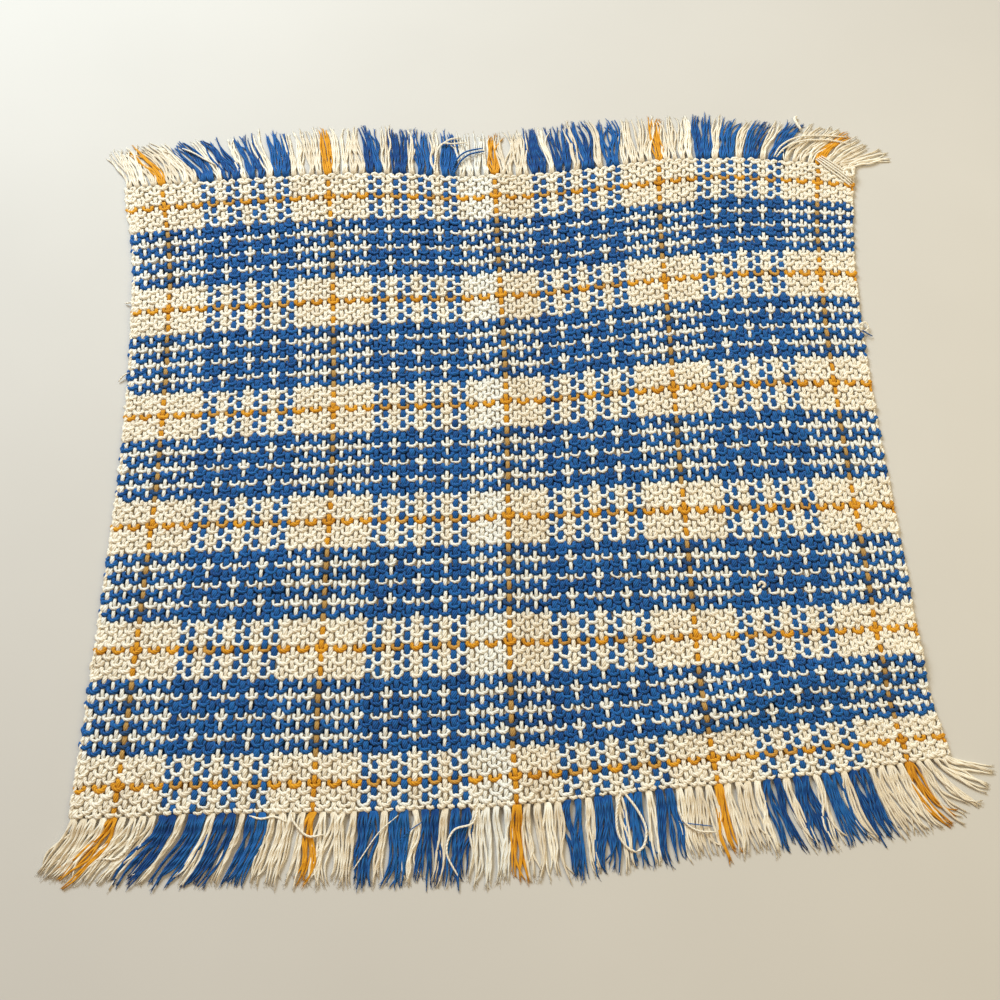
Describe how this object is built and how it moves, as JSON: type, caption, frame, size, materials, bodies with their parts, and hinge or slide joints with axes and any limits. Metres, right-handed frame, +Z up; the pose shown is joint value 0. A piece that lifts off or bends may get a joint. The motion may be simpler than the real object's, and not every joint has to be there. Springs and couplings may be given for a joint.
{
  "type": "fringed crochet plaid throw blanket",
  "caption": "Crocheted plaid throw in blue, cream and gold yarn with fringe along two hems, lying open with a raised crease down its middle.",
  "frame": {"origin": "on the surface that the throw lies on, under the middle of the whole throw with its fringes", "axes": "+X to the right along the rows, +Y along the columns from the near hem to the far hem, +Z up"},
  "size_m": [1.2602, 1.1782, 0.014],
  "materials": {
    "blue_yarn": "matte",
    "cream_yarn": "matte",
    "gold_yarn": "matte"
  },
  "bodies": {
    "root": {"cloth": "blue_yarn", "fringe_far": "cream_yarn", "fringe_near": "cream_yarn"}
  },
  "joints": []
}
